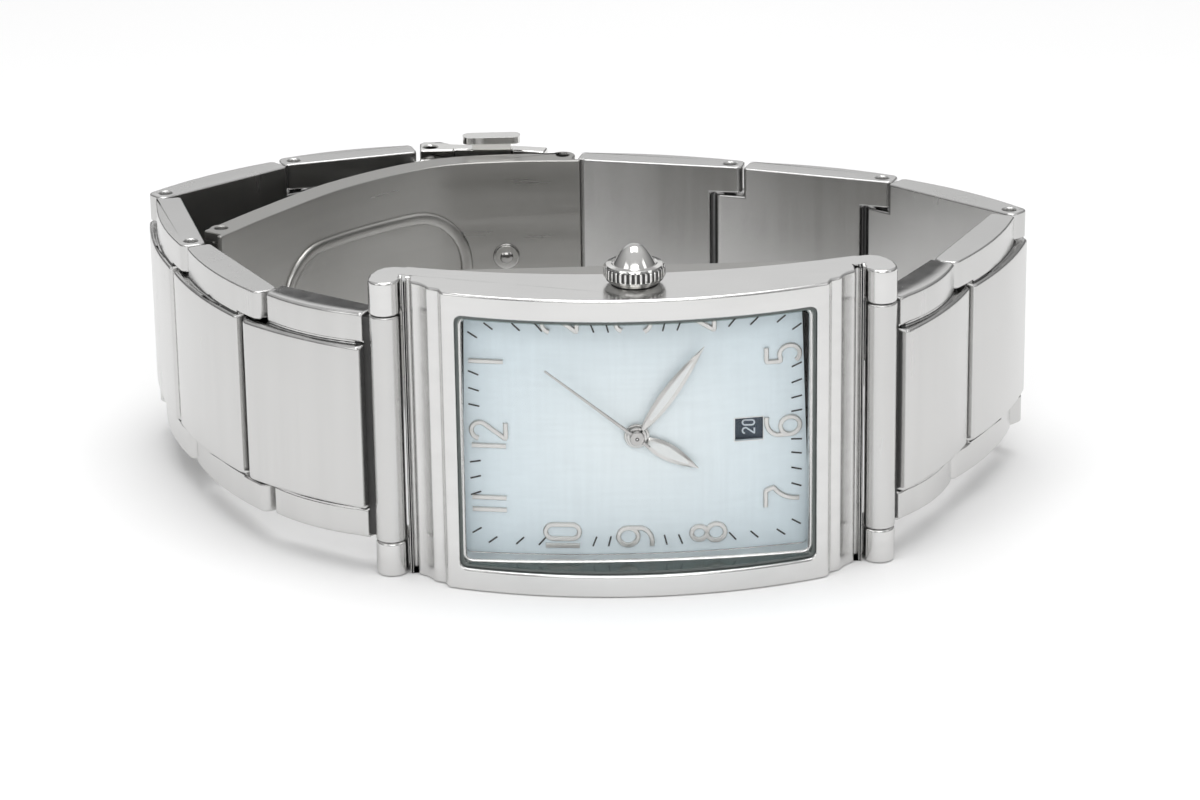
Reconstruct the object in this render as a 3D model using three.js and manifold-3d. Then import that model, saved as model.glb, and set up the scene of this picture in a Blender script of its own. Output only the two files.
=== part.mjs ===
// A rectangular wristwatch with a steel link bracelet and a folding clasp, standing on the side of its case.
// Millimetres. X runs from 12 o'clock (-) to 6 o'clock (+), the dial faces -Y, and the crown is on top (+Z).
// Y = 0 is the plane through the two bracelet bars, and Z = 0 is the case side that it stands on.

import * as THREE from "three";
import { mergeVertices } from "three/addons/utils/BufferGeometryUtils.js";
import Module from "manifold-3d";

const wasm = await Module();
wasm.setup();

// ---------- driving dimensions ----------
const caseLength = 44; // over the two bars
const caseHeight = 26.22; // across the case, from side to side
const braceletWidth = 20;
const linkPitch = 14.6;
const linkThickness = 2.3; // at the ends of a link
const crownRadius = 2.45;
const railWidth = 2.5; // of a link's two outer rails
const bladeWall = 0.9; // thickness of the inner blade's side walls

// ---------- worked out from them ----------
const midZ = caseHeight / 2;
const barRadius = 1.335;
const barX = caseLength / 2 - barRadius;
const lugHeight = (caseHeight - braceletWidth) / 2 - 0.07;
const halfLink = linkThickness / 2;
const halfWidth = braceletWidth / 2;

const faceX = barX - 4.72; // half length of the case's front face
const faceY = -4.0; // its ends
const faceBulge = 3.26; // how far its middle stands ahead of them
const frontY = faceY - faceBulge;
const faceRadius = (faceX ** 2 + faceBulge ** 2) / (2 * faceBulge);

const windowX = faceX - 1.03; // the opening for the crystal
const windowZ = midZ - 1.98;
const dialX = windowX - 0.58; // the smaller opening over the dial
const dialZ = windowZ - 0.5;
const cavityX = dialX + 0.35;
const cavityZ = dialZ + 0.25;
const dialRadius = 64.4;
const dialY = -3.5; // front of the dial at its middle
const dialThickness = 0.28;
const dialCentreZ = midZ; // the movement's centre
const seatY = -4.85; // where the crystal rests, at the middle
const crystalBackRadius = 93;
const rearY = -0.2; // the case's rear edge at its middle
const rearRise = 3.3; // how much further back its ends are

const stemY = -2.7;
const stemRadius = 0.36;
const crownZ = caseHeight + 0.05;

// The bracelet leaves each bar and is bent round: the direction of each link, in degrees, before the chain
// is closed on the clasp's two outer pivots.
const coverPlace = [-16.775, 47.851];
const bladePlace = [-4.503, 44.134];
const endPitch = 13.3;
const pitches = [endPitch, linkPitch, linkPitch, linkPitch];
const leftPitches = [...pitches, linkPitch - 1.46];
const rightPitches = [...pitches, linkPitch + 1.25];
const leftBend = [143, 116.5, 102, 39, 14.6];
const rightBend = [57.5, 62.4, 134.6, 157.5, 165.4];

const pinRadius = 0.53;
const wideHole = 0.62;
const tightHole = 0.575;
const railInner = halfWidth - railWidth;
const plateHalf = railInner - 0.25; // half height of a link's centre plate
const wallInner = halfWidth - bladeWall;
const knuckleHalf = wallInner - 0.3; // what turns between the inner blade's walls

// ---------- colours ----------
const steel = { color: 0xc9cacc, roughness: 0.16, metalness: 1 };
const satinSteel = { color: 0xa9a8a5, roughness: 0.42, metalness: 1 };
const darkSteel = { color: 0x77777a, roughness: 0.35, metalness: 1 };
const brass = { color: 0xc4a35a, roughness: 0.35, metalness: 1 };
const dialBlue = { color: 0xc3ced6, roughness: 0.5, metalness: 0.3 };
const dateBlue = { color: 0x2c3440, roughness: 0.6, metalness: 0 };
const black = { color: 0x1b1b1c, roughness: 0.7, metalness: 0 };
const plastic = { color: 0xd8d6cf, roughness: 0.6, metalness: 0 };
const glass = { color: 0xdfe8ea, roughness: 0.02, metalness: 0, transparent: true, opacity: 0.3 };

// ---------- shapes ----------
const radians = THREE.MathUtils.degToRad;

function solid(geometry) {
  geometry.deleteAttribute("normal");
  geometry.deleteAttribute("uv");
  const merged = mergeVertices(geometry, 1e-4);
  return new wasm.Manifold(
    new wasm.Mesh({
      numProp: 3,
      vertProperties: new Float32Array(merged.attributes.position.array),
      triVerts: new Uint32Array(merged.index.array),
    }),
  );
}

// A flat outline in X and Y, from z0 up to z1.
function prism(points, z0, z1) {
  const shape = new THREE.Shape(points.map(([x, y]) => new THREE.Vector2(x, y)));
  const geometry = new THREE.ExtrudeGeometry(shape, { depth: z1 - z0, bevelEnabled: false });
  return solid(geometry.translate(0, 0, z0));
}

// An outline in X and Z, from y0 back to y1.
function prismY(points, y0, y1) {
  return prism(points, -y1, -y0).rotate([90, 0, 0]);
}

function block(x0, x1, y0, y1, z0, z1) {
  const geometry = new THREE.BoxGeometry(x1 - x0, y1 - y0, z1 - z0);
  return solid(geometry.translate((x0 + x1) / 2, (y0 + y1) / 2, (z0 + z1) / 2));
}

// A turned shape about Z: profile points are [radius, z], from the axis to the axis.
function turned(profile, sides = 24) {
  const points = profile.map(([r, z]) => new THREE.Vector2(r, z));
  return solid(new THREE.LatheGeometry(points, sides).rotateX(Math.PI / 2));
}

function rodZ(x, y, r, z0, z1, sides = 16) {
  const geometry = new THREE.CylinderGeometry(r, r, z1 - z0, sides);
  return solid(geometry.rotateX(Math.PI / 2).translate(x, y, (z0 + z1) / 2));
}

function rodY(x, z, r, y0, y1, sides = 16) {
  const geometry = new THREE.CylinderGeometry(r, r, y1 - y0, sides);
  return solid(geometry.translate(x, (y0 + y1) / 2, z));
}

function arc(cx, cy, r, from, to, steps) {
  return Array.from({ length: steps + 1 }, (_, i) => {
    const a = radians(from + ((to - from) * i) / steps);
    return [cx + r * Math.cos(a), cy + r * Math.sin(a)];
  });
}

// A rectangle with rounded corners, centred on (0, cy).
function rounded(halfX, halfY, r, cy = 0, steps = 4) {
  return [
    ...arc(halfX - r, cy + halfY - r, r, 0, 90, steps),
    ...arc(-halfX + r, cy + halfY - r, r, 90, 180, steps),
    ...arc(-halfX + r, cy - halfY + r, r, 180, 270, steps),
    ...arc(halfX - r, cy - halfY + r, r, 270, 360, steps),
  ];
}

const along = (count, f) => Array.from({ length: count + 1 }, (_, i) => f(i / count));
const union = (...parts) => parts.reduce((a, b) => a.add(b));
const cut = (body, ...tools) => tools.reduce((a, b) => a.subtract(b), body);

function piece(name, body, look, parent) {
  const { vertProperties, triVerts } = body.getMesh();
  const geometry = new THREE.BufferGeometry();
  geometry.setAttribute("position", new THREE.BufferAttribute(new Float32Array(vertProperties), 3));
  geometry.setIndex(new THREE.BufferAttribute(new Uint32Array(triVerts), 1));
  geometry.computeVertexNormals();
  const mesh = new THREE.Mesh(geometry, new THREE.MeshStandardMaterial({ ...look, flatShading: true }));
  mesh.name = name;
  parent.add(mesh);
  return mesh;
}

// ---------- case ----------
const frontCurve = (x, inset = 0) => frontY + inset + faceRadius - Math.sqrt(faceRadius ** 2 - x ** 2);
const rearCurve = (x) => rearY + rearRise * (x / (barX - 1.87)) ** 2;
const backHalfX = cavityX + 0.6;
const backY = rearCurve(backHalfX) + 0.32; // the case back's flat outer face
const dialCurve = (x) => dialY + x ** 2 / (2 * dialRadius);
const crystalBack = (x, inset = 0) => seatY + inset + x ** 2 / (2 * crystalBackRadius);

// Right half of the case's outline between the front face and the rear, seen from the crown.
function caseEnd(withLug) {
  const ribX = barX - 1.47;
  const shoulder = [
    [faceX + 0.28, faceY + 0.91],
    [faceX + 1.12, faceY + 1.34],
    [faceX + 1.43, faceY + 2.01],
    [faceX + 1.8, faceY + 2.5],
    [faceX + 2.24, faceY + 2.87],
    [ribX - 0.72, faceY + 3.06],
    [ribX - 0.72, 0.3],
    [ribX - 0.38, 0.3],
    [ribX - 0.38, faceY + 3.28],
    [ribX, faceY + 3.28],
  ];
  const plain = [[ribX, 2.6], [ribX - 0.4, rearY + rearRise]];
  const lug = [
    [ribX, 0.75],
    [ribX + 0.14, 0.75],
    ...arc(barX, 0, barRadius, 170, 360, 14),
    [barX + barRadius - 0.12, 1.1],
    [barX + barRadius - 0.6, 2.2],
    [barX + barRadius - 1.3, 2.95],
    [barX - 0.9, rearY + rearRise + 0.05],
  ];
  return [...shoulder, ...(withLug ? lug : plain)];
}

function caseOutline(withLug) {
  const right = caseEnd(withLug);
  const left = right.map(([x, y]) => [-x, y]).reverse();
  const front = along(24, (t) => [faceX * (2 * t - 1), 0]).map(([x]) => [x, frontCurve(x)]);
  const rear = along(12, (t) => [(barX - 1.9) * (1 - 2 * t), 0]).map(([x]) => [x, rearCurve(x)]);
  return [...front, ...right, ...rear.slice(1, -1), ...left];
}

function caseMiddle() {
  const low = prism(caseOutline(true), 0, lugHeight);
  const mid = prism(caseOutline(false), 0, caseHeight);
  const high = prism(caseOutline(true), caseHeight - lugHeight, caseHeight);
  const window = prismY(rounded(windowX, windowZ, 0.6, 0), frontY - 1, crystalBack(windowX) + 0.1).translate([0, 0, midZ]);
  const seat = prism(
    [
      ...along(12, (t) => [windowX * 1.1 * (2 * t - 1), 0]).map(([x]) => [x, crystalBack(x)]),
      [windowX * 1.1, frontY - 2],
      [-windowX * 1.1, frontY - 2],
    ],
    0,
    caseHeight,
  );
  const dialOpening = prismY(rounded(dialX, dialZ, 0.5, 0), frontY, dialCurve(dialX) + 0.3).translate([0, 0, midZ]);
  const cavity = prism(
    [
      ...along(12, (t) => [cavityX * (2 * t - 1), 0]).map(([x]) => [x, dialCurve(x) - 0.02]),
      [cavityX, backY + 1],
      [-cavityX, backY + 1],
    ],
    midZ - cavityZ,
    midZ + cavityZ,
  );
  const stemHole = rodZ(0, stemY, 1.03, midZ + cavityZ - 0.05, caseHeight + 1, 20);
  const barHoles = [-1, 1].flatMap((s) => [
    rodZ(s * barX, 0, 0.5, lugHeight - 1.4, lugHeight + 1),
    rodZ(s * barX, 0, 0.5, caseHeight - lugHeight - 1, caseHeight - lugHeight + 1.4),
  ]);
  const screwHoles = screwPlaces().map(([x, z]) => rodY(x, z, 0.42, backY - 2.4, backY + 1, 12));
  return cut(
    union(low, mid, high),
    window.intersect(seat),
    dialOpening,
    cavity,
    stemHole,
    ...barHoles,
    ...screwHoles,
  );
}

function screwPlaces() {
  return [-1, 1].flatMap((s) => [-1, 1].map((t) => [s * 11.5, midZ + t * (cavityZ + 1.08)]));
}

const backHalfZ = midZ - 0.2;
const bossY = dialCurve(cavityX) + dialThickness + 0.8; // front of the boss that closes the movement's space

function caseBack() {
  const plate = prism(
    [
      ...along(12, (t) => [backHalfX * (2 * t - 1), 0]).map(([x]) => [x, rearCurve(x) + 0.02]),
      [backHalfX, backY - 0.12],
      [backHalfX - 0.2, backY],
      [-backHalfX + 0.2, backY],
      [-backHalfX, backY - 0.12],
    ],
    midZ - backHalfZ,
    midZ + backHalfZ,
  );
  const boss = prismY(rounded(cavityX - 0.1, cavityZ - 0.1, 0.6), bossY, backY - 0.3).translate([0, 0, midZ]);
  const hollow = prismY(rounded(9.8, 8.6, 1), bossY - 1, 0.95).translate([0, 0, midZ]);
  const screws = screwPlaces().flatMap(([x, z]) => [
    rodY(x, z, 0.46, bossY, backY + 1, 12),
    rodY(x, z, 0.76, backY - 0.4, backY + 1, 16),
  ]);
  return cut(union(plate, boss), hollow, gasketGroove(), ...screws);
}

function gasketRing(outer, inner, y0, y1) {
  const ring = (d) => rounded(cavityX - d, cavityZ - d, 0.6);
  return cut(prismY(ring(outer), y0, y1), prismY(ring(inner), y0 - 1, y1 + 1)).translate([0, 0, midZ]);
}

const gasketGroove = () => gasketRing(-0.5, 0.6, bossY + 0.15, bossY + 0.6);
const backGasket = () => gasketRing(0.02, 0.55, bossY + 0.2, bossY + 0.55);

function screw([x, z]) {
  const slot = block(x - 1, x + 1, backY - 0.22, backY + 1, z - 0.1, z + 0.1);
  return cut(union(rodY(x, z, 0.7, backY - 0.36, backY - 0.04, 16), rodY(x, z, 0.38, backY - 2.2, backY - 0.3, 10)), slot);
}

function crystal() {
  const x = windowX - 0.3;
  const profile = [
    ...along(16, (t) => [x * (2 * t - 1), 0]).map(([u]) => [u, frontCurve(u, 0.3)]),
    ...along(12, (t) => [x * (1 - 2 * t), 0]).map(([u]) => [u, crystalBack(u, -0.03)]),
  ];
  const bar = prism(profile, 0, caseHeight);
  return bar.intersect(prismY(rounded(x, windowZ - 0.3, 0.4), frontY - 1, 0).translate([0, 0, midZ]));
}

function crystalGasket() {
  const x = windowX - 0.03;
  const profile = [
    ...along(16, (t) => [x * (2 * t - 1), 0]).map(([u]) => [u, frontCurve(u, 0.45)]),
    ...along(12, (t) => [x * (1 - 2 * t), 0]).map(([u]) => [u, crystalBack(u, -0.03)]),
  ];
  const frame = cut(
    prismY(rounded(x, windowZ - 0.03, 0.55), frontY - 1, 1),
    prismY(rounded(x - 0.24, windowZ - 0.27, 0.42), frontY - 2, 2),
  ).translate([0, 0, midZ]);
  return prism(profile, 0, caseHeight).intersect(frame);
}

// ---------- inside the case ----------
function dialPlate() {
  const x = cavityX - 0.06;
  const profile = [
    ...along(16, (t) => [x * (2 * t - 1), 0]).map(([u]) => [u, dialCurve(u) + 0.02]),
    ...along(16, (t) => [x * (1 - 2 * t), 0]).map(([u]) => [u, dialCurve(u) + dialThickness]),
  ];
  const dateWindow = block(dateX - dateHalfX, dateX + dateHalfX, dialY - 1, 2, dateZ - dateHalfZ, dateZ + dateHalfZ);
  return cut(
    prism(profile, midZ - cavityZ + 0.06, midZ + cavityZ - 0.06),
    rodY(0, dialCentreZ, 0.95, dialY - 1, 1),
    dateWindow,
  );
}

const dateX = 9.42;
const dateZ = midZ;
const dateHalfX = 1.185;
const dateHalfZ = 0.985;
const dateRadius = 10.7;
const dateDiscY = dialCurve(dateRadius) + dialThickness + 0.08;

function dateDisc() {
  return cut(
    rodY(0, dialCentreZ, dateRadius, dateDiscY, dateDiscY + 0.2, 48),
    rodY(0, dialCentreZ, 8.05, dateDiscY - 1, dateDiscY + 1, 32),
  );
}

const plateY = dateDiscY + 0.28; // front of the movement behind the date disc

const holderBack = Math.min(bossY, rearY - 0.1) - 0.1;

function movementHolder() {
  const outer = prismY(rounded(cavityX - 0.15, cavityZ - 0.15, 0.5), dateDiscY - 0.04, holderBack).translate([0, 0, midZ]);
  const behindDial = prism(
    [
      ...along(12, (t) => [cavityX * (2 * t - 1), 0]).map(([x]) => [x, dialCurve(x) + dialThickness + 0.05]),
      [cavityX, backY],
      [-cavityX, backY],
    ],
    0,
    caseHeight,
  );
  return cut(
    outer.intersect(behindDial),
    rodY(0, dialCentreZ, dateRadius + 0.15, dateDiscY - 1, dateDiscY + 0.27, 40),
    prismY(rounded(9.5, 8.3, 1, 0, 3), dateDiscY - 1, 2).translate([0, 0, dialCentreZ]),
  );
}

function movementPlate() {
  const body = prismY(rounded(9.35, 8.15, 0.9, 0, 3), plateY, 0.8).translate([0, 0, dialCentreZ]);
  const hub = rodY(0, dialCentreZ, 1.6, dialY + dialThickness + 0.15, plateY + 0.1, 20);
  return cut(
    union(body, hub),
    rodY(0, dialCentreZ, 0.82, -5, -0.25, 20),
    rodY(-4.6, dialCentreZ - 1.6, 3.6, -0.2, 3, 28),
    block(-1.3, 1.3, -4, -1.0, dialCentreZ + 3.2, midZ + 12),
  );
}

const battery = () =>
  union(
    rodY(-4.6, dialCentreZ - 1.6, 3.45, -0.15, 0.75, 28),
    rodY(-4.6, dialCentreZ - 1.6, 2.9, 0.7, 0.88, 28),
  );

const minuteY = -4.18; // front of each hand
const hourY = -3.86;
const secondY = -4.46;

const hourWheel = () =>
  cut(
    union(
      rodY(0, dialCentreZ, 0.78, hourY - 0.02, -0.4, 20),
      rodY(0, dialCentreZ, 0.8, -0.6, -0.3, 20),
    ),
    rodY(0, dialCentreZ, 0.6, -6, 2, 20),
  );
const cannonPinion = () => cut(rodY(0, dialCentreZ, 0.53, minuteY - 0.02, -0.35, 20), rodY(0, dialCentreZ, 0.32, -6, 2, 16));
const secondsPinion = () => rodY(0, dialCentreZ, 0.26, secondY + 0.02, -0.4, 16);

// A leaf hand that points along +X: half widths at a few places along it, and a boss.
function hand(length, width, tail, boss, bore, y, thick) {
  const half = [
    [-tail, 0.12],
    [-tail * 0.5, 0.3],
    [length * 0.12, 0.3],
    [length * 0.3, width / 2],
    [length * 0.55, width * 0.44],
    [length, 0.05],
  ];
  const outline = [...half.map(([x, w]) => [x, w]), ...half.reverse().map(([x, w]) => [x, -w])];
  const blade = prismY(outline, y, y + thick);
  return cut(union(blade, rodY(0, 0, boss, y, y + thick, 20)), rodY(0, 0, bore, y - 1, y + 1, 20));
}

const hourHand = () => hand(5.9, 1.35, 1.1, 1.05, 0.81, hourY, 0.2);
const minuteHand = () => hand(9.5, 1.15, 1.2, 0.85, 0.56, minuteY, 0.18);

function secondHand() {
  const needle = prismY(
    [
      [-2.9, 0.13],
      [9.65, 0.05],
      [9.65, -0.05],
      [-2.9, -0.13],
    ],
    secondY,
    secondY + 0.12,
  );
  return cut(union(needle, rodY(0, 0, 0.62, secondY - 0.14, secondY + 0.14, 20)), rodY(0, 0, 0.29, secondY, 0, 16));
}

// Each hand stands at its own angle, in degrees clockwise from 12 o'clock as the wearer sees it.
function placeHand(name, body, degrees, look, parent) {
  const holder = new THREE.Group();
  holder.position.set(0, 0, dialCentreZ);
  holder.rotation.y = radians(degrees - 180);
  parent.add(holder);
  piece(name, body, look, holder);
}

// ---------- crown ----------
function crown() {
  const top = 1.7;
  const domeR = 1.76;
  const profile = [
    [0, 0],
    [crownRadius - 0.45, 0],
    [crownRadius - 0.05, 0.38],
    [crownRadius - 0.2, 0.45],
    [crownRadius - 0.2, 0.55],
    [crownRadius - 0.03, 0.6],
    [crownRadius, top - 0.3],
    [crownRadius - 0.1, top - 0.08],
    [domeR + 0.18, top],
    [domeR, top - 0.08],
    [domeR - 0.12, top + 0.15],
    [domeR - 0.62, top + 0.95],
    [domeR - 1.05, top + 1.4],
    [0.3, top + 1.6],
    [0, top + 1.62],
  ];
  const teeth = Array.from({ length: 30 }, (_, i) => {
    const a = (i / 30) * 2 * Math.PI;
    const r = crownRadius + 0.05;
    return rodZ(r * Math.cos(a), r * Math.sin(a), 0.14, 0.5, top - 0.28, 6);
  });
  const body = cut(turned(profile, 48), rodZ(0, 0, 1.25, -1, 1.25, 24), rodZ(0, 0, stemRadius + 0.03, 0, 1.6, 16), ...teeth);
  return body.translate([0, stemY, crownZ]);
}

const crownTube = () =>
  cut(rodZ(0, stemY, 1.0, midZ + cavityZ + 0.05, crownZ + 0.95, 20), rodZ(0, stemY, 0.82, 0, caseHeight + 9, 20));
const crownGasket = () =>
  cut(rodZ(0, stemY, 0.8, crownZ - 0.5, crownZ + 0.1, 20), rodZ(0, stemY, stemRadius + 0.03, 0, caseHeight + 9, 16));
const windingStem = () => rodZ(0, stemY, stemRadius, dialCentreZ + 3.6, crownZ + 1.55, 16);
const settingLever = () => block(-1.1, 1.1, stemY - 0.2, -1.1, dialCentreZ + 3.36, dialCentreZ + 3.56);

// ---------- bracelet links ----------
// A link lies along +X from its case-side pivot (0, 0) to its clasp-side pivot (pitch, 0), centred on Z = 0.
// Its two rails reach back round the first pivot and its centre plate reaches on round the second.
const tip = 1.3;
const recess = 1.6;

function dome(x0, x1, low, high, steps = 8) {
  return along(steps, (t) => [x1 + (x0 - x1) * t, low + (high - low) * 4 * t * (1 - t)]);
}

function railProfile(x0, x1, roundStart) {
  const corner = 0.75;
  const start = roundStart
    ? [...arc(x0 + corner, halfLink - corner, corner, 90, 180, 4), ...arc(x0 + corner, corner - halfLink, corner, 180, 270, 4)]
    : [[x0, halfLink - 0.25], [x0, 0.25 - halfLink], [x0 + 0.25, -halfLink]];
  return [...dome(x0 + (roundStart ? corner : 0.25), x1 - 0.25, halfLink, 1.75), ...start, [x1 - 0.25, -halfLink], [x1, 0.25 - halfLink], [x1, halfLink - 0.25]];
}

function plateProfile(x0, x1) {
  const corner = 0.75;
  return [
    ...dome(x0 + 0.25, x1 - corner, halfLink + 0.08, 2.05),
    [x0, halfLink - 0.2],
    [x0, 0.25 - halfLink],
    [x0 + 0.25, -halfLink],
    ...arc(x1 - corner, corner - halfLink, corner, 270, 360, 4),
    ...arc(x1 - corner, halfLink + 0.08 - corner, corner, 0, 90, 4).slice(0, -1),
  ];
}

const dimple = (x) =>
  solid(new THREE.SphereGeometry(0.95, 16, 10).translate(x, -halfLink - 0.5, 0));

function linkBody(pitch, start, roundStart, blindPins) {
  const rail = railProfile(start, pitch - recess, roundStart);
  const reach = roundStart ? recess : start;
  const rails = cut(
    prism(rail, -halfWidth, halfWidth),
    block(start - 1, reach + 0.15, -4, 4, -railInner, railInner),
  );
  const plate = prism(plateProfile(reach, pitch + tip), -plateHalf, plateHalf);
  const hole = blindPins ? halfWidth - 0.5 : halfWidth + 1;
  return cut(
    union(rails, plate),
    rodZ(pitch, 0, wideHole, -halfWidth - 1, halfWidth + 1),
    ...(roundStart ? [rodZ(0, 0, tightHole, -hole, hole)] : []),
    dimple(pitch / 2),
  );
}

const middleLink = (blindPins) => linkBody(linkPitch, -tip, true, blindPins);

// The end link carries the barrel that turns on the spring bar between the lugs.
function endLink() {
  const barrel = rodZ(0, 0, barRadius, -halfWidth - 0.03, halfWidth + 0.03, 32);
  const web = block(0.6, 2.4, -halfLink, 0.1, -halfWidth + 0.4, halfWidth - 0.4);
  return cut(union(linkBody(endPitch, 2.0, false), barrel, web), rodZ(0, 0, 0.85, -20, 20));
}

// The last link before the clasp's cover.
const shortLink = () => linkBody(leftPitches[4], -tip, true, false);

// The last link before the inner blade: its tongue thins to a knuckle that sits between the blade's walls.
function longLink() {
  const pitch = rightPitches[4];
  const body = cut(
    linkBody(pitch, -tip, true, false),
    block(pitch - 1.55, pitch + 3, -4, 4, -halfWidth, halfWidth),
    rodZ(pitch, 0, 2.45, -20, 20, 40).intersect(block(0, 30, -4, -0.85, -20, 20)),
  );
  const neck = block(pitch - 2.6, pitch, -0.8, 0.8, -plateHalf, plateHalf);
  const knuckle = rodZ(pitch, 0, 0.85, -knuckleHalf, knuckleHalf, 20);
  return cut(union(body, neck, knuckle), rodZ(pitch, 0, wideHole, -20, 20));
}

const linkPin = (blind) => rodZ(0, 0, pinRadius, blind ? 0.7 - halfWidth : 0.35 - halfWidth, halfWidth - (blind ? 0.7 : 0.35), 12);

function springBar(s) {
  const reach = halfWidth + 0.9;
  return union(
    rodZ(s * barX, 0, 0.75, midZ - halfWidth + 0.1, midZ + halfWidth - 0.1),
    rodZ(s * barX, 0, 0.42, midZ - reach, midZ + reach, 12),
  );
}

// Pivot positions of a chain of links, from its bar on.
function pivots(x, angles, lengths) {
  const points = [[x, 0]];
  angles.forEach((a, i) => {
    const [px, py] = points[i];
    points.push([px + lengths[i] * Math.cos(radians(a)), py + lengths[i] * Math.sin(radians(a))]);
  });
  return points;
}

// The smallest change of the links' directions that brings the end of the chain to its place.
function closed(x, bend, lengths, [endX, endY]) {
  let angles = bend;
  for (let step = 0; step < 80; step++) {
    const [px, py] = pivots(x, angles, lengths).at(-1);
    const size = Math.max(1, Math.hypot(endX - px, endY - py));
    const gap = [(endX - px) / size, (endY - py) / size];
    const pull = angles.map((a, i) => [-lengths[i] * Math.sin(radians(a)), lengths[i] * Math.cos(radians(a))]);
    const sum = (f) => pull.reduce((total, p) => total + f(p), 0);
    const [xx, xy, yy] = [sum((p) => p[0] * p[0]), sum((p) => p[0] * p[1]), sum((p) => p[1] * p[1])];
    const det = xx * yy - xy * xy;
    const force = [(yy * gap[0] - xy * gap[1]) / det, (xx * gap[1] - xy * gap[0]) / det];
    angles = angles.map((a, i) => a + THREE.MathUtils.radToDeg(pull[i][0] * force[0] + pull[i][1] * force[1]));
  }
  return angles;
}

const leftAngles = closed(-barX, leftBend, leftPitches, coverPlace);
const rightAngles = closed(barX, rightBend, rightPitches, bladePlace);
const leftPivots = pivots(-barX, leftAngles, leftPitches);
const rightPivots = pivots(barX, rightAngles, rightPitches);

function addChain(side, points, angles, bodies, parent) {
  bodies.forEach((body, i) => {
    const holder = new THREE.Group();
    holder.position.set(...points[i], midZ);
    holder.rotation.z = radians(angles[i]);
    parent.add(holder);
    const turnedOver = new THREE.Group();
    turnedOver.rotation.x = side === "right" ? Math.PI : 0;
    holder.add(turnedOver);
    piece(`${side}_${i ? `link_${i + 1}` : "end_link"}`, body, steel, turnedOver);
    if (i) piece(`${side}_link_pin_${i}`, linkPin(i === 1), darkSteel, turnedOver);
  });
}

// ---------- clasp ----------
const coverPivot = leftPivots.at(-1); // the last left link's knuckle, in the clasp's cover
const bladePivot = rightPivots.at(-1); // the last right link's knuckle, in the inner blade
const foldPivot = [coverPivot[0] - 0.3, coverPivot[1] - 2.7]; // cover to middle blade
const farPivot = [-35.3, 24.5]; // middle blade to inner blade

const bladeFloor = 0.5;
const wallTop = 2.4;

// The wrist side of the inner blade, from its right end to its left end.
const bladePath = new THREE.CatmullRomCurve3(
  [
    [bladePivot[0] + 1.5, bladePivot[1] - 1.95],
    [-9.5, 42.45],
    [-16.0, 41.5],
    [-24.0, 36.0],
    [-30.3, 28.6],
    [-35.2, 21.9],
  ].map(([x, y]) => new THREE.Vector3(x, y, 0)),
);

// A strip that follows a path, between two distances outside it.
function strip(path, from, to, low, high, steps) {
  const at = (t, offset) => {
    const p = path.getPoint(t);
    const d = path.getTangent(t);
    return [p.x + d.y * offset, p.y - d.x * offset];
  };
  return [
    ...along(steps, (t) => at(from + (to - from) * t, low)),
    ...along(steps, (t) => at(to + (from - to) * t, high)),
  ];
}

function innerBlade() {
  const floor = prism(strip(bladePath, 0, 1, 0, bladeFloor, 24), -halfWidth, halfWidth);
  const wall = prism(strip(bladePath, 0.02, 0.985, 0.2, wallTop, 24), wallInner, halfWidth);
  const ear = ([x, y], r) => rodZ(x, y, r, wallInner, halfWidth, 20);
  const walls = union(wall, ear(bladePivot, 1.15), ear(farPivot, 1.05));
  const postHole = postRod(0.42, -1, 3);
  return cut(
    union(floor, walls, walls.mirror([0, 0, 1])),
    rodZ(...bladePivot, tightHole, -20, 20),
    rodZ(...farPivot, tightHole, -20, 20),
    postHole,
    endNotch(),
  ).translate([0, 0, midZ]);
}

// The left end of the blade's floor is hollowed in a shallow curve.
function endNotch() {
  const end = bladePath.getPoint(1);
  const d = bladePath.getTangent(1);
  const disc = solid(new THREE.CylinderGeometry(9, 9, 3, 40));
  const angle = THREE.MathUtils.radToDeg(Math.atan2(d.y, d.x));
  return disc.translate([7.9, 0, 0]).rotate([0, 0, angle]).translate([end.x, end.y, 0]);
}

const postPlace = 0.214; // along the blade
const postZ = 0.8; // its height above the blade's middle

function postRod(r, from, to, sides = 16) {
  const p = bladePath.getPoint(postPlace);
  const d = bladePath.getTangent(postPlace);
  const rod = solid(new THREE.CylinderGeometry(r, r, to - from, sides)).translate([0, (from + to) / 2, 0]);
  const angle = THREE.MathUtils.radToDeg(Math.atan2(-d.y, -d.x));
  return rod.rotate([0, 0, angle]).translate([p.x, p.y, postZ]);
}

const latchPost = () =>
  union(postRod(0.38, -0.2, 3.0), postRod(1.1, -0.4, -0.03, 20), postRod(0.75, 2.6, 3.4)).translate([0, 0, midZ]);

const middlePath = new THREE.CatmullRomCurve3(
  [
    [foldPivot[0], foldPivot[1]],
    [-21.5, 40.75],
    [-25.4, 36.6],
    [-30.7, 30.2],
    [farPivot[0], farPivot[1]],
  ].map(([x, y]) => new THREE.Vector3(x, y, 0)),
);

function middleBlade() {
  const half = plateHalf - 0.15;
  const body = union(
    prism(strip(middlePath, 0.0, 1.0, -0.45, 0.45, 16), -half, half),
    rodZ(...foldPivot, 0.9, -half, half, 20),
    rodZ(...farPivot, 0.85, -knuckleHalf, knuckleHalf, 20),
  );
  return cut(body, rodZ(...foldPivot, wideHole, -20, 20), rodZ(...farPivot, wideHole, -20, 20)).translate([0, 0, midZ]);
}

const coverPath = new THREE.CatmullRomCurve3(
  [
    [coverPivot[0] + 1.75, coverPivot[1]],
    [-12.2, 47.35],
    [-9.0, 46.85],
    [bladePivot[0] - 1.5, bladePivot[1] + 1.9],
  ].map(([x, y]) => new THREE.Vector3(x, y, 0)),
);

const cheekOuter = wallInner - 0.2; // the cover's cheeks stand between the blade's walls
const buttonX = [-13.75, -8.4];
const buttonY = 46.1;

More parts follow.
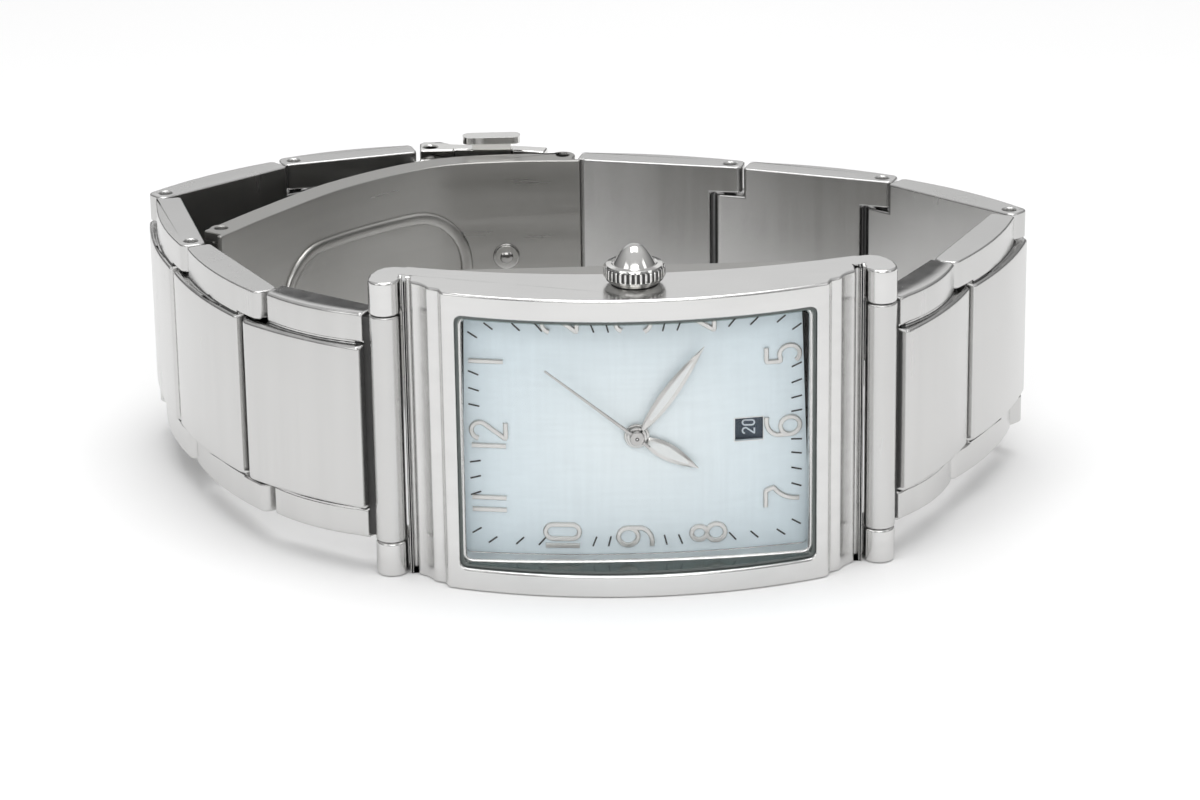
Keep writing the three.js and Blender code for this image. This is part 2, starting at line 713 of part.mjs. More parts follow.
function claspCover() {
  const plate = prism(strip(coverPath, 0, 1, -0.75, 0.75, 12), -halfWidth, halfWidth);
  const housing = prism(strip(coverPath, 0.08, 0.72, -2.1, -0.5, 8), -cheekOuter, cheekOuter);
  const cheek = prism(
    [
      [coverPivot[0] - 0.95, coverPivot[1] - 0.5],
      [foldPivot[0] - 0.9, foldPivot[1]],
      [foldPivot[0] - 0.5, foldPivot[1] - 0.85],
      [foldPivot[0] + 0.5, foldPivot[1] - 0.85],
      [foldPivot[0] + 1.1, foldPivot[1] + 0.2],
      [coverPivot[0] + 2.2, coverPivot[1] - 0.9],
      [coverPivot[0] + 2.2, coverPivot[1] + 0.5],
      [coverPivot[0] + 1.0, coverPivot[1] + 1.55],
      [coverPivot[0] - 0.7, coverPivot[1] + 1.6],
    ],
    railInner,
    cheekOuter,
  );
  const outerCheek = prism(
    [
      [coverPivot[0] - 1.0, coverPivot[1] - 1.1],
      [coverPivot[0] + 2.2, coverPivot[1] - 1.1],
      [coverPivot[0] + 2.2, coverPivot[1] + 0.5],
      [coverPivot[0] + 1.0, coverPivot[1] + 1.55],
      [coverPivot[0] - 0.7, coverPivot[1] + 1.6],
      [coverPivot[0] - 1.05, coverPivot[1] + 1.1],
    ],
    cheekOuter - 0.1,
    halfWidth,
  );
  const cheeks = union(cheek, outerCheek);
  return cut(
    union(plate, housing, cheeks, cheeks.mirror([0, 0, 1])),
    rodZ(...foldPivot, tightHole, -20, 20),
    rodZ(...coverPivot, wideHole, -20, 20),
    ...[-1, 1].map((s) => buttonShape(s, 0.15, 0.9)),
    rodZ(...coverPivot, 1.75, -railInner, railInner, 28),
    postRod(1.05, 1.5, 4.2),
  ).translate([0, 0, midZ]);
}

// A push button: a cap outside the cover's edge and a tongue that slides in it.
function buttonShape(s, grow = 0, deeper = 0) {
  const [x0, x1] = buttonX;
  const z0 = halfWidth - 3.6 - deeper;
  const tongue = block(
    x0 + 0.9 - grow,
    x1 - 0.9 + grow,
    buttonY - 0.45 - grow,
    buttonY + 0.45 + grow,
    z0,
    halfWidth + 1.3,
  );
  return s > 0 ? tongue : tongue.mirror([0, 0, 1]);
}

function pushButton(s) {
  const [x0, x1] = buttonX;
  const cap = prism(rounded((x1 - x0) / 2, 0.85, 0.7, 0, 4), halfWidth + 0.85, halfWidth + 1.5)
    .translate([(x0 + x1) / 2, buttonY, 0]);
  const body = union(buttonShape(1), cap);
  return (s > 0 ? body : body.mirror([0, 0, 1])).translate([0, 0, midZ]);
}

const claspPin = ([x, y], half) => rodZ(x, y, pinRadius, midZ - half, midZ + half, 12);

// ---------- assembly ----------
const watch = new THREE.Group();
watch.name = "wristwatch";

const head = new THREE.Group();
watch.add(head);
piece("case_middle", caseMiddle(), steel, head);
piece("case_back", caseBack(), satinSteel, head);
screwPlaces().forEach((place, i) => piece(`back_screw_${i + 1}`, screw(place), darkSteel, head));
piece("back_gasket", backGasket(), black, head);
piece("crystal", crystal(), glass, head);
piece("crystal_gasket", crystalGasket(), black, head);
piece("dial", dialPlate(), dialBlue, head);
piece("date_disc", dateDisc(), dateBlue, head);
piece("movement_holder", movementHolder(), plastic, head);
piece("movement_plate", movementPlate(), brass, head);
piece("battery", battery(), satinSteel, head);
piece("hour_wheel", hourWheel(), brass, head);
piece("cannon_pinion", cannonPinion(), satinSteel, head);
piece("seconds_pinion", secondsPinion(), steel, head);
placeHand("hour_hand", hourHand(), 210.4, steel, head);
placeHand("minute_hand", minuteHand(), 125.7, steel, head);
placeHand("second_hand", secondHand(), 39.1, steel, head);
piece("crown", crown(), steel, head);
piece("winding_stem", windingStem(), darkSteel, head);
piece("crown_gasket", crownGasket(), black, head);
piece("crown_tube", crownTube(), satinSteel, head);
piece("setting_lever", settingLever(), satinSteel, head);

const bracelet = new THREE.Group();
watch.add(bracelet);
const bodies = () => [endLink(), middleLink(true), middleLink(false), middleLink(false)];
addChain("left", leftPivots, leftAngles, [...bodies(), shortLink()], bracelet);
addChain("right", rightPivots, rightAngles, [...bodies(), longLink()], bracelet);
piece("left_spring_bar", springBar(-1), darkSteel, bracelet);
piece("right_spring_bar", springBar(1), darkSteel, bracelet);

const clasp = new THREE.Group();
watch.add(clasp);
piece("inner_blade", innerBlade(), satinSteel, clasp);
piece("latch_post", latchPost(), steel, clasp);
piece("middle_blade", middleBlade(), satinSteel, clasp);
piece("clasp_cover", claspCover(), steel, clasp);
piece("inner_blade_pin", claspPin(bladePivot, halfWidth - 0.2), darkSteel, clasp);
piece("blade_fold_pin", claspPin(farPivot, halfWidth - 0.2), darkSteel, clasp);
piece("cover_fold_pin", claspPin(foldPivot, cheekOuter - 0.2), darkSteel, clasp);
piece("cover_pin", claspPin(coverPivot, plateHalf - 0.05), darkSteel, clasp);
piece("upper_push_button", pushButton(1), steel, clasp);
piece("lower_push_button", pushButton(-1), steel, clasp);

export default watch;
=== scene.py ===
import math
import bpy
import numpy as np
from mathutils import Matrix, Vector
from mathutils.bvhtree import BVHTree


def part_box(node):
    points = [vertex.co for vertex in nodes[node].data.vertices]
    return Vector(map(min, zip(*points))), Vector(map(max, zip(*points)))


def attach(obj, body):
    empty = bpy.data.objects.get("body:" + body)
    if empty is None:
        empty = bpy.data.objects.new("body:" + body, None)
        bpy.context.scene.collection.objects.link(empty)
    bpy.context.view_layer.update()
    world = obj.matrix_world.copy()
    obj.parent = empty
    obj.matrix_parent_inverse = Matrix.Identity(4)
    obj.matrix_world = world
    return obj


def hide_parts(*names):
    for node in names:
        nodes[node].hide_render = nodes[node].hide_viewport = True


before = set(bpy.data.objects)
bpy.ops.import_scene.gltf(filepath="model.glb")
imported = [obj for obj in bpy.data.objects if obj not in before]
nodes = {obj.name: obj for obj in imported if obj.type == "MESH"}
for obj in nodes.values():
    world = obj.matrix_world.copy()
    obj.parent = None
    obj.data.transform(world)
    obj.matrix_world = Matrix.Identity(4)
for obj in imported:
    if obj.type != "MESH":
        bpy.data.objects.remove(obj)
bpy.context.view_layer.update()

mm = 0.001
scene = bpy.context.scene
scene.view_settings.view_transform = "Standard"

# the dial's place in the case, in millimetres, as the frame has it
case = dict(midZ=13.11, dialY=-3.5, dialRadius=64.4)


# Front of the dial: y = dialY + x squared over twice its radius.
def dialCurve(x):
    return case["dialY"] + np.asarray(x) ** 2 / (2 * case["dialRadius"])


# Mesh makers.

# Points in millimetres and faces as index rows, put into one object at the origin.
def meshPiece(name, points, faces, material, body, smooth=True, slot=None):
    mesh = bpy.data.meshes.new(name)
    mesh.from_pydata((np.asarray(points, float) * mm).tolist(), [], [list(map(int, f)) for f in faces])
    mesh.polygons.foreach_set("use_smooth", np.full(len(mesh.polygons), smooth))
    mesh.materials.append(material)
    mesh.update()
    piece = bpy.data.objects.new(name, mesh)
    scene.collection.objects.link(piece)
    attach(piece, body)
    return piece


# Quads between neighbouring rings, and one cap at each end.
def sweepFaces(rings, around, first=0):
    i = np.arange(rings - 1)[:, None] * around + first
    j = np.arange(around)[None, :]
    k = (j + 1) % around
    quads = np.stack([i + j, i + k, i + around + k, i + around + j], -1).reshape(-1, 4)
    start = list(range(first + around - 1, first - 1, -1))
    end = list(range(first + (rings - 1) * around, first + rings * around))
    return [*quads.tolist(), start, end]


# Joins lists of (points, faces) into one pair.
def gatherParts(parts):
    points, faces, total = [], [], 0
    for p, f in parts:
        points.append(p)
        faces += [[i + total for i in face] for face in f]
        total += len(p)
    return np.concatenate(points), faces


# Strokes of the numerals, on a unit square with u to the right and v up.

# Ellipse arc: centre plus radius times cosine and sine of the angle.
def bow(cu, cv, ru, rv, start, end, steps=14):
    a = np.radians(np.linspace(start, end, steps))
    return np.stack([cu + ru * np.cos(a), cv + rv * np.sin(a)], -1)


def bar(*corners):
    return np.array(corners, float)


def joined(*parts):
    return np.concatenate(parts)


digitStrokes = {
    "0": (0.44, [joined(bow(0.22, 0.78, 0.22, 0.22, 0, 180, 10),
                        bow(0.22, 0.22, 0.22, 0.22, 180, 360, 10), bar((0.44, 0.78)))]),
    "1": (0.02, [bar((0.0, 0.0), (0.0, 1.0))]),
    "2": (0.5, [joined(bow(0.25, 0.75, 0.25, 0.25, 170, -28, 12), bar((0.0, 0.0), (0.5, 0.0)))]),
    "3": (0.5, [bow(0.24, 0.76, 0.23, 0.24, 160, -90, 12), bow(0.24, 0.27, 0.26, 0.27, 90, -160, 14)]),
    "4": (0.58, [bar((0.44, 0.0), (0.44, 1.0), (0.0, 0.3), (0.58, 0.3))]),
    "5": (0.55, [joined(bar((0.5, 1.0), (0.06, 1.0), (0.06, 0.58)),
                        bow(0.26, 0.31, 0.27, 0.3, 115, -140, 16))]),
    "6": (0.55, [joined(bow(0.46, 0.6, 0.46, 0.4, 75, 168, 8), bow(0.27, 0.29, 0.27, 0.29, 175, 535, 22))]),
    "7": (0.52, [joined(bar((0.0, 1.0), (0.52, 1.0)), bow(0.95, 0.0, 0.75, 0.86, 118, 180, 8))]),
    "8": (0.52, [bow(0.26, 0.77, 0.21, 0.23, -90, 270, 18), bow(0.26, 0.27, 0.26, 0.27, 90, 450, 20)]),
    "9": (0.55, [joined(bow(0.09, 0.4, 0.46, 0.4, 255, 348, 8), bow(0.28, 0.71, 0.27, 0.29, -5, 355, 22))]),
}


# A half-round wire carried along a flat path: each ring is the path's point plus its side times
# half a width and a height over the dial. place turns (u, v, height) into x, y, z.
def strokeSolid(path, height, place, width, rise, sink, loop=False):
    p = np.asarray(path, float) * height
    keep = np.r_[True, np.linalg.norm(np.diff(p, axis=0), axis=1) > 1e-4]
    p = p[keep]
    d = np.roll(p, -1, 0) - np.roll(p, 1, 0) if loop else np.gradient(p, axis=0)
    d /= np.linalg.norm(d, axis=1)[:, None] + 1e-12
    side = np.stack([-d[:, 1], d[:, 0]], -1)
    across = np.array([1.0, 0.9, 0.62, -0.62, -0.9, -1.0, -1.0, 1.0]) * width / 2
    up = np.array([0.0, 0.72 * rise, rise, rise, 0.72 * rise, 0.0, -sink, -sink])
    ring = p[:, None, :] + side[:, None, :] * across[None, :, None]
    points = place(ring[..., 0].ravel(), ring[..., 1].ravel(), np.tile(up, len(p)))
    faces = sweepFaces(len(p), len(across))
    if loop:
        last, k = (len(p) - 1) * len(across), np.arange(len(across))
        after = (k + 1) % len(across)
        faces = faces[:-2] + np.stack([last + k, last + after, after, k], -1).tolist()
    return points, faces


# Puts two close points round each sharp corner, so that the wire keeps its width there.
def fineCorners(path, reach=0.04):
    p = np.asarray(path, float)
    out = [p[0]]
    for a, b, c in zip(p[:-2], p[1:-1], p[2:]):
        ab, bc = b - a, c - b
        la, lc = np.linalg.norm(ab), np.linalg.norm(bc)
        if la < 1e-6 or lc < 1e-6:
            continue
        if ab @ bc / (la * lc) < 0.8:
            r = min(reach, la / 3, lc / 3)
            out += [b - ab / la * r, b - (ab / la - bc / lc) * r * 0.25, b + bc / lc * r]
        else:
            out.append(b)
    return np.array([*out, p[-1]])


# All strokes of one number, centred on u = 0 and v = 0.
def numberParts(text, height, gap, place, width, rise, sink):
    total = sum(digitStrokes[c][0] for c in text) + gap * (len(text) - 1)
    u = -total / 2
    parts = []
    for c in text:
        for path in digitStrokes[c][1]:
            moved = fineCorners(path) + [u, -0.5]
            parts.append(strokeSolid(moved, height, place, width, rise, sink))
        u += digitStrokes[c][0] + gap
    return parts


# Materials.

def newMaterial(name):
    material = bpy.data.materials.new(name)
    material.use_nodes = True
    tree = material.node_tree
    return material, tree.nodes, tree.links, tree.nodes["Principled BSDF"]


# Noise on Object coordinates, drawn out along the axis with the small factor.
def stretchedNoise(nodeList, links, scale, stretch, detail=3.0):
    coords = nodeList.new("ShaderNodeTexCoord")
    mapping = nodeList.new("ShaderNodeMapping")
    mapping.inputs["Scale"].default_value = stretch
    noise = nodeList.new("ShaderNodeTexNoise")
    noise.inputs["Scale"].default_value = scale
    noise.inputs["Detail"].default_value = detail
    links.new(coords.outputs["Object"], mapping.inputs["Vector"])
    links.new(mapping.outputs["Vector"], noise.inputs["Vector"])
    return noise


# Brings noise between start and end to low and high.
def remapped(nodeList, links, source, low, high, start=0.3, end=0.7):
    node = nodeList.new("ShaderNodeMapRange")
    for key, value in (("From Min", start), ("From Max", end), ("To Min", low), ("To Max", high)):
        node.inputs[key].default_value = value
    links.new(source, node.inputs["Value"])
    return node.outputs["Result"]


# Steel with fine lines: noise drawn out along one axis drives roughness, tone and a faint relief,
# and a slow cloud changes the polish from place to place.
def steelFinish(name, colour, roughness, spread, stretch, bump=0.02, fine=900.0, edge=0.09):
    material, nodeList, links, shader = newMaterial(name)
    shader.inputs["Metallic"].default_value = 1.0
    lines = stretchedNoise(nodeList, links, fine, stretch, 4.0)
    cloud = stretchedNoise(nodeList, links, 160.0, (1, 1, 1), 2.0)
    both = nodeList.new("ShaderNodeMath")
    both.operation = "ADD"
    links.new(remapped(nodeList, links, lines.outputs["Fac"], 0.0, spread), both.inputs[0])
    polish = remapped(nodeList, links, cloud.outputs["Fac"], roughness - 0.02, roughness + 0.03)
    links.new(polish, both.inputs[1])
    links.new(both.outputs["Value"], shader.inputs["Roughness"])
    tone = nodeList.new("ShaderNodeMix")
    tone.data_type = "RGBA"
    tone.inputs["A"].default_value = (*[c * 0.94 for c in colour], 1)
    tone.inputs["B"].default_value = (*colour, 1)
    links.new(remapped(nodeList, links, lines.outputs["Fac"], 0.0, 1.0), tone.inputs["Factor"])
    links.new(tone.outputs["Result"], shader.inputs["Base Color"])
    relief = nodeList.new("ShaderNodeBump")
    relief.inputs["Strength"].default_value = bump
    relief.inputs["Distance"].default_value = 0.00002
    links.new(lines.outputs["Fac"], relief.inputs["Height"])
    if edge:
        softened = nodeList.new("ShaderNodeBevel")
        softened.samples = 4
        softened.inputs["Radius"].default_value = edge * mm
        links.new(softened.outputs["Normal"], relief.inputs["Normal"])
    links.new(relief.outputs["Normal"], shader.inputs["Normal"])
    return material


# A cloud of two near tones with a fine grain.
def plainFinish(name, dark, light, roughness, scale, metallic=0.0, bump=0.05):
    material, nodeList, links, shader = newMaterial(name)
    shader.inputs["Metallic"].default_value = metallic
    cloud = stretchedNoise(nodeList, links, scale, (1, 1, 1), 5.0)
    tone = nodeList.new("ShaderNodeMix")
    tone.data_type = "RGBA"
    tone.inputs["A"].default_value = (*dark, 1)
    tone.inputs["B"].default_value = (*light, 1)
    links.new(cloud.outputs["Fac"], tone.inputs["Factor"])
    links.new(tone.outputs["Result"], shader.inputs["Base Color"])
    polish = remapped(nodeList, links, cloud.outputs["Fac"], roughness - 0.05, roughness + 0.05)
    links.new(polish, shader.inputs["Roughness"])
    relief = nodeList.new("ShaderNodeBump")
    relief.inputs["Strength"].default_value = bump
    relief.inputs["Distance"].default_value = 0.00003
    links.new(cloud.outputs["Fac"], relief.inputs["Height"])
    links.new(relief.outputs["Normal"], shader.inputs["Normal"])
    return material


# Pale blue lacquer over a linen-like stamped ground: two crossed line noises. It is brighter towards the middle: the
# blue is the dial's own, and the darker rim is painted shade from the case wall.
def dialFinish():
    material, nodeList, links, shader = newMaterial("iceBlueDial")
    coords = nodeList.new("ShaderNodeTexCoord")
    far = nodeList.new("ShaderNodeVectorMath")
    far.operation = "LENGTH"
    centred = nodeList.new("ShaderNodeMapping")
    centred.inputs["Location"].default_value = (0, 0, -case["midZ"] * mm * 1.25)
    centred.inputs["Scale"].default_value = (1.0, 0.0, 1.25)
    links.new(coords.outputs["Object"], centred.inputs["Vector"])
    links.new(centred.outputs["Vector"], far.inputs[0])
    # Painted shade: the colour turns darker and bluer from the middle to the rim, standing in for the shade of the
    # case wall.
    ramp = nodeList.new("ShaderNodeValToRGB")
    ramp.color_ramp.elements[0].position = 0.0
    ramp.color_ramp.elements[0].color = (0.815, 0.895, 0.925, 1)
    ramp.color_ramp.elements[1].position = 1.0
    ramp.color_ramp.elements[1].color = (0.69, 0.80, 0.855, 1)
    links.new(remapped(nodeList, links, far.outputs["Value"], 0.0, 1.0, 0.003, 0.0185), ramp.inputs["Fac"])
    across = stretchedNoise(nodeList, links, 2600.0, (0.05, 1, 1), 2.0)
    along = stretchedNoise(nodeList, links, 2600.0, (1, 1, 0.05), 2.0)
    weave = nodeList.new("ShaderNodeMath")
    weave.operation = "ADD"
    links.new(across.outputs["Fac"], weave.inputs[0])
    links.new(along.outputs["Fac"], weave.inputs[1])
    tone = nodeList.new("ShaderNodeMix")
    tone.data_type = "RGBA"
    tone.blend_type = "MULTIPLY"
    tone.inputs["Factor"].default_value = 1.0
    shade = nodeList.new("ShaderNodeCombineColor")
    level = remapped(nodeList, links, weave.outputs["Value"], 0.95, 1.0, 0.7, 1.3)
    for key in ("Red", "Green", "Blue"):
        links.new(level, shade.inputs[key])
    links.new(ramp.outputs["Color"], tone.inputs["A"])
    links.new(shade.outputs["Color"], tone.inputs["B"])
    links.new(tone.outputs["Result"], shader.inputs["Base Color"])
    shader.inputs["Metallic"].default_value = 0.05
    shader.inputs["Roughness"].default_value = 0.42
    shader.inputs["Coat Weight"].default_value = 0.15
    relief = nodeList.new("ShaderNodeBump")
    relief.inputs["Strength"].default_value = 0.06
    relief.inputs["Distance"].default_value = 0.00002
    links.new(weave.outputs["Value"], relief.inputs["Height"])
    links.new(relief.outputs["Normal"], shader.inputs["Normal"])
    return material


# Clear crystal: see-through, with a gloss that grows with the fourth power of one minus the cosine of
# the angle, and a grey-green tone on its cut edges.
def crystalFinish():
    material, nodeList, links, shader = newMaterial("clearCrystal")
    nodeList.remove(shader)
    output = nodeList["Material Output"]
    geometry = nodeList.new("ShaderNodeTexCoord")
    split = nodeList.new("ShaderNodeSeparateXYZ")
    links.new(geometry.outputs["Normal"], split.inputs["Vector"])
    flat = nodeList.new("ShaderNodeMath")
    flat.operation = "ABSOLUTE"
    links.new(split.outputs["Y"], flat.inputs[0])
    edge = remapped(nodeList, links, flat.outputs["Value"], 1.0, 0.0, 0.2, 0.8)
    tint = nodeList.new("ShaderNodeMix")
    tint.data_type = "RGBA"
    tint.inputs["A"].default_value = (1, 1, 1, 1)
    tint.inputs["B"].default_value = (0.58, 0.64, 0.62, 1)
    links.new(edge, tint.inputs["Factor"])
    clear = nodeList.new("ShaderNodeBsdfTransparent")
    links.new(tint.outputs["Result"], clear.inputs["Color"])
    gloss = nodeList.new("ShaderNodeBsdfGlossy")
    smear = stretchedNoise(nodeList, links, 90.0, (1, 1, 1), 2.0)
    links.new(remapped(nodeList, links, smear.outputs["Fac"], 0.01, 0.04), gloss.inputs["Roughness"])
    facing = nodeList.new("ShaderNodeLayerWeight")
    facing.inputs["Blend"].default_value = 0.5
    steep = nodeList.new("ShaderNodeMath")
    steep.operation = "POWER"
    steep.inputs[1].default_value = 4.0
    links.new(facing.outputs["Facing"], steep.inputs[0])
    mix = nodeList.new("ShaderNodeMixShader")
    links.new(remapped(nodeList, links, steep.outputs["Value"], 0.015, 0.6, 0.0, 1.0), mix.inputs["Fac"])
    links.new(clear.outputs["BSDF"], mix.inputs[1])
    links.new(gloss.outputs["BSDF"], mix.inputs[2])
    links.new(mix.outputs["Shader"], output.inputs["Surface"])
    return material


steelTone = (0.615, 0.612, 0.605)
caseSteel = steelFinish("caseSteel", (0.70, 0.697, 0.69), 0.17, 0.05, (0.04, 1, 1), 0.015)
linkSteel = steelFinish("linkSteel", steelTone, 0.20, 0.06, (1, 1, 0.03), 0.02)
brightSteel = steelFinish("brightSteel", (0.74, 0.735, 0.72), 0.09, 0.03, (1, 1, 0.1), 0.005, edge=0.05)
satinSteel = steelFinish("satinSteel", (0.43, 0.425, 0.41), 0.28, 0.12, (0.03, 0.03, 1), 0.05, edge=0.08)
pinSteel = steelFinish("pinSteel", (0.13, 0.128, 0.125), 0.4, 0.1, (1, 1, 0.05), 0.03, edge=0.05)
handSteel = steelFinish("handSteel", (0.66, 0.655, 0.64), 0.16, 0.05, (1, 1, 1), 0.01, edge=0.0)
numeralSteel = steelFinish("numeralSteel", (0.66, 0.655, 0.64), 0.28, 0.06, (1, 1, 1), 0.01, edge=0.0)
rivetSteel = steelFinish("rivetSteel", (0.34, 0.335, 0.325), 0.16, 0.05, (1, 1, 1), 0.01, edge=0.0)
needleSteel = steelFinish("needleSteel", (0.52, 0.51, 0.50), 0.28, 0.05, (1, 1, 1), 0.01, edge=0.0)
movementBrass = steelFinish("movementBrass", (0.72, 0.58, 0.30), 0.3, 0.1, (1, 0.1, 1), 0.04, edge=0.05)
sealRubber = plainFinish("sealRubber", (0.012, 0.012, 0.013), (0.03, 0.03, 0.032), 0.6, 900.0)
clearSeal = plainFinish("clearSeal", (0.10, 0.115, 0.11), (0.16, 0.18, 0.175), 0.35, 900.0)
holderPlastic = plainFinish("holderPlastic", (0.60, 0.59, 0.56), (0.70, 0.69, 0.66), 0.55, 700.0)
dateLacquer = plainFinish("dateLacquer", (0.018, 0.035, 0.058), (0.03, 0.052, 0.08), 0.5, 1200.0)
printInk = plainFinish("printInk", (0.008, 0.008, 0.009), (0.02, 0.02, 0.022), 0.4, 2000.0)
lightInk = plainFinish("lightInk", (0.55, 0.62, 0.68), (0.68, 0.74, 0.78), 0.5, 2000.0)
# Painted shade: a near-black colour for pieces put into grooves, gaps, the crown's tooth roots and the hub hole,
# where there is only shade.
gapShade = plainFinish("gapShade", (0.02, 0.02, 0.02), (0.045, 0.044, 0.043), 0.45, 900.0)
handInset = plainFinish("handInset", (0.72, 0.75, 0.75), (0.82, 0.84, 0.84), 0.5, 1500.0)
dialLacquer = dialFinish()
crystalClear = crystalFinish()
print("materials made")


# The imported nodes: finishes and soft shading.

# A geometry modifier: merge the loose triangles, then smooth every edge flatter than the limit.
def softShading(limit=32.0):
    group = bpy.data.node_groups.new("softShading", "GeometryNodeTree")
    group.interface.new_socket("Geometry", in_out="INPUT", socket_type="NodeSocketGeometry")
    group.interface.new_socket("Geometry", in_out="OUTPUT", socket_type="NodeSocketGeometry")
    start, end = group.nodes.new("NodeGroupInput"), group.nodes.new("NodeGroupOutput")
    merge = group.nodes.new("GeometryNodeMergeByDistance")
    merge.inputs["Distance"].default_value = 2e-6
    smooth = group.nodes.new("GeometryNodeSetShadeSmooth")
    sharp = group.nodes.new("GeometryNodeSetShadeSmooth")
    sharp.domain = "EDGE"
    sharp.inputs["Shade Smooth"].default_value = False
    angle = group.nodes.new("GeometryNodeInputMeshEdgeAngle")
    compare = group.nodes.new("FunctionNodeCompare")
    compare.data_type = "FLOAT"
    compare.operation = "GREATER_THAN"
    compare.inputs["B"].default_value = math.radians(limit)
    link = group.links.new
    link(start.outputs[0], merge.inputs["Geometry"])
    link(merge.outputs["Geometry"], smooth.inputs["Geometry"])
    link(smooth.outputs["Geometry"], sharp.inputs["Geometry"])
    link(angle.outputs["Unsigned Angle"], compare.inputs["A"])
    link(compare.outputs["Result"], sharp.inputs["Selection"])
    link(sharp.outputs["Geometry"], end.inputs[0])
    return group


def softShade(node, group):
    modifier = nodes[node].modifiers.new("softShading", "NODES")
    modifier.node_group = group
    if node in edgeWidths:
        weighted = nodes[node].modifiers.new("flatFaces", "WEIGHTED_NORMAL")
        weighted.keep_sharp = True
        weighted.weight = 80


# Welds the triangles, joins the coplanar ones, and rounds each edge sharper than the limit.
def roundEdges(node, width, limit=32.0):
    piece = nodes[node]
    weld = piece.modifiers.new("weldPoints", "WELD")
    weld.merge_threshold = 2e-6
    flat = piece.modifiers.new("joinFlats", "DECIMATE")
    flat.decimate_type = "DISSOLVE"
    flat.angle_limit = math.radians(0.4)
    edge = piece.modifiers.new("roundedEdges", "BEVEL")
    edge.width = width * mm
    edge.segments = 3
    edge.limit_method = "ANGLE"
    edge.angle_limit = math.radians(limit)
    edge.use_clamp_overlap = False
    edge.harden_normals = False


def finishOf(node):
    if node == "case_middle":
        return caseSteel
    if node == "crown":
        return brightSteel
    if node == "crystal":
        return crystalClear
    if node == "dial":
        return dialLacquer
    if node == "date_disc":
        return dateLacquer
    if node == "crystal_gasket":
        return clearSeal
    if node.endswith("gasket"):
        return sealRubber
    if node == "movement_holder":
        return holderPlastic
    if node in ("movement_plate", "hour_wheel"):
        return movementBrass
    if node == "second_hand":
        return needleSteel
    if node in ("hour_hand", "minute_hand", "seconds_pinion", "cannon_pinion"):
        return handSteel
    if "_pin" in node or "spring_bar" in node or "screw" in node or node == "winding_stem":
        return pinSteel
    if node in ("inner_blade", "middle_blade", "case_back", "battery", "setting_lever", "crown_tube"):
        return satinSteel
    if "button" in node or node in ("clasp_cover", "latch_post"):
        return brightSteel
    return linkSteel


edgeWidths = {name: 0.16 for name in nodes if "link" in name and "pin" not in name}
edgeWidths.update(case_middle=0.25, clasp_cover=0.2, inner_blade=0.12, middle_blade=0.12)
shading = softShading()
for nodeName, nodeObject in nodes.items():
    nodeObject.data.materials.clear()
    nodeObject.data.materials.append(finishOf(nodeName))
    if nodeName in edgeWidths:
        roundEdges(nodeName, edgeWidths[nodeName])
    softShade(nodeName, shading)
print("packed nodes finished")


# Dial markings.

numerals = dict(height=2.85, wire=0.42, rise=0.2, sink=0.03, gap=0.2, elevenGap=0.36)
hourPlaces = {
    "12": (-12.3, 0.0), "1": (-12.4, 6.47), "2": (-6.3, 9.84), "3": (-0.2, 9.84),
    "4": (5.95, 9.8), "5": (12.3, 6.42), "6": (12.3, 0.05), "7": (12.25, -6.35),
    "8": (5.95, -9.0), "9": (-0.2, -9.08), "10": (-6.3, -8.9), "11": (-12.35, -6.18),
}


# A number's up is -x and its right is +z, and its height stands off the dial towards -y.
def onDial(x, z):
    return lambda u, v, h: np.stack([x - v, dialCurve(x - v) - h, case["midZ"] + z + u], -1)


strokes = []
for text, (x, z) in hourPlaces.items():
    gap = numerals["elevenGap"] if text == "11" else numerals["gap"]
    strokes += numberParts(text, numerals["height"], gap, onDial(x, z),
                           numerals["wire"], numerals["rise"], numerals["sink"])
meshPiece("hour_numerals", *gatherParts(strokes), numeralSteel, "head", False, "hand_steel")

marks = dict(length=0.92, width=0.13, rise=0.015, sink=0.01, endRow=13.45, sideRow=9.5, besideSix=1.27)
sidePlaces = [s * x for x in (2.35, 3.6, 8.0, 9.86, 12.13) for s in (-1, 1)]
endPlaces = [s * z for z in (2.5, 3.9, 5.35, 8.7) for s in (-1, 1)]
markPlaces = [(x, s * marks["sideRow"]) for x in sidePlaces for s in (-1, 1)]
markPlaces += [(s * marks["endRow"], z) for z in endPlaces for s in (-1, 1)]
markPlaces += [(marks["endRow"], marks["besideSix"]), (marks["endRow"], -marks["besideSix"])]


# A flat bar that points at the dial's centre: four corners, below and above the lacquer.
def markBox(x, z):
    d = np.array([x, z]) / math.hypot(x, z)
    side = np.array([-d[1], d[0]])
    ends = np.array([-1, 1, 1, -1])[:, None] * d * marks["length"] / 2
    sides = np.array([-1, -1, 1, 1])[:, None] * side * marks["width"] / 2
    corners = np.array([x, z]) + ends + sides
    base = dialCurve(corners[:, 0])
    points = np.concatenate([
        np.stack([corners[:, 0], base + lift, case["midZ"] + corners[:, 1]], -1)
        for lift in (marks["sink"], -marks["rise"])
    ])
    return points, [(3, 2, 1, 0), (4, 5, 6, 7), (5, 4, 0, 1), (6, 5, 1, 2), (7, 6, 2, 3), (4, 7, 3, 0)]


markBoxes = gatherParts([markBox(x, z) for x, z in markPlaces])
meshPiece("minute_marks", *markBoxes, printInk, "head", False, "dial_lacquer")

# all the days stand round the disc, and the twentieth shows in the window
days = dict(count=31, shown=20, radius=9.4, height=1.0, gap=0.25, wire=0.14, rise=0.02, sink=0.01)
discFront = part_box("date_disc")[0].y / mm


# The same lettering turned about the dial's centre by the day's share of the disc.
def onDisc(angle):
    c, s = math.cos(angle), math.sin(angle)

    def place(u, v, h):
        x, z = days["radius"] - v, u
        return np.stack([x * c - z * s, np.full_like(u, discFront) - h, case["midZ"] + x * s + z * c], -1)
    return place


